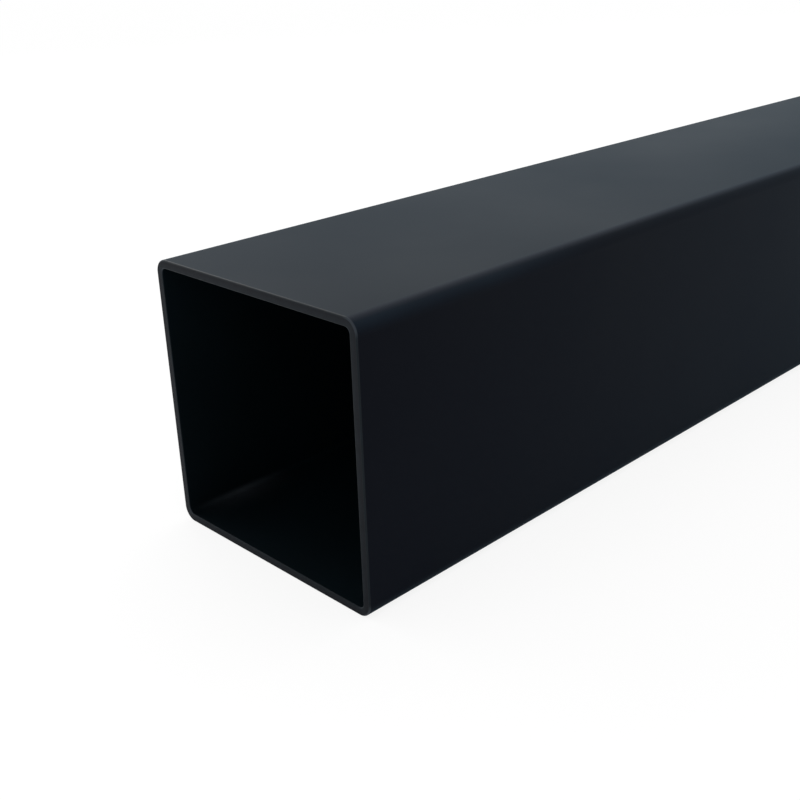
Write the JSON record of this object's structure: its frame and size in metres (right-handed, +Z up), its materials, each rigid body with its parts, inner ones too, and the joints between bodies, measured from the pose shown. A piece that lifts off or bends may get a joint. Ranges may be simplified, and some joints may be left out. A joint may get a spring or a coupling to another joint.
{
  "type": "square metal tube",
  "caption": "Length of dark-coated square steel box section with evenly thick walls, rounded bends and square-sawn open ends.",
  "frame": {"origin": "centre of the tube's underside, halfway along its length", "axes": "+X along the tube, +Y across it, +Z up from the face that the tube lies on"},
  "size_m": [1, 0.1, 0.1],
  "materials": {
    "dark_coat": "smooth satin blue-black coat"
  },
  "bodies": {
    "root": {"square_tube": "dark_coat"}
  },
  "joints": []
}
